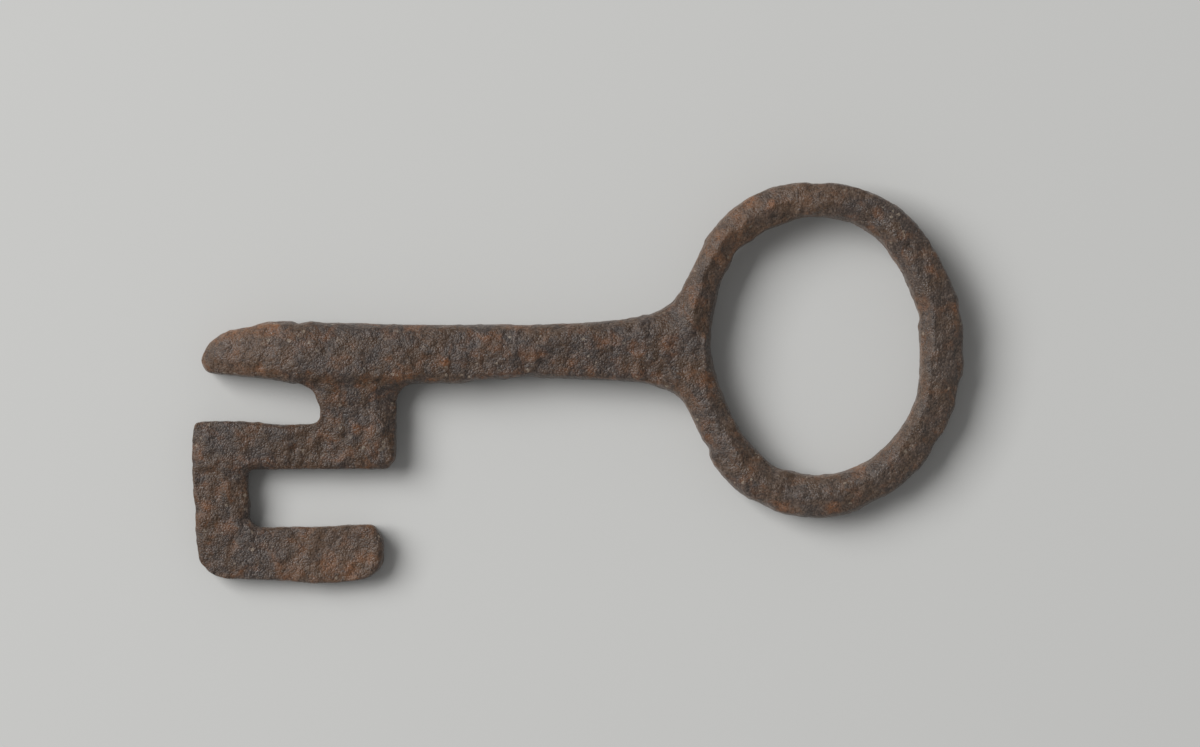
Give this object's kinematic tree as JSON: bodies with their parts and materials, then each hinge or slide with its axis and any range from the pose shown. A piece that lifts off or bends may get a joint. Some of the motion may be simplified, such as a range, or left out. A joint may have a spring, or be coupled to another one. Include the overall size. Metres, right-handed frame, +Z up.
{
  "type": "iron key",
  "caption": "Hand-forged iron key: stout shank with a blunt nose, oval finger ring and a thick bit cut like a figure 2, open to the front and to the rear.",
  "frame": {"origin": "middle of the key's bounding box, on the surface that it lies on", "axes": "+X along the shank from the nose to the bow, +Y from the bit to the plain side of the shank, +Z up out of the surface"},
  "size_m": [0.1284, 0.0668, 0.0111],
  "materials": {
    "forged_iron": "rough, pitted, evenly rusted to a dark brown",
    "weld_filling": "rough, rusted to an orange brown"
  },
  "bodies": {
    "root": {"shank": "forged_iron", "bow_hoop": "forged_iron", "bit_plate": "forged_iron", "front_fillet": "weld_filling", "rear_fillet": "weld_filling"}
  },
  "joints": []
}
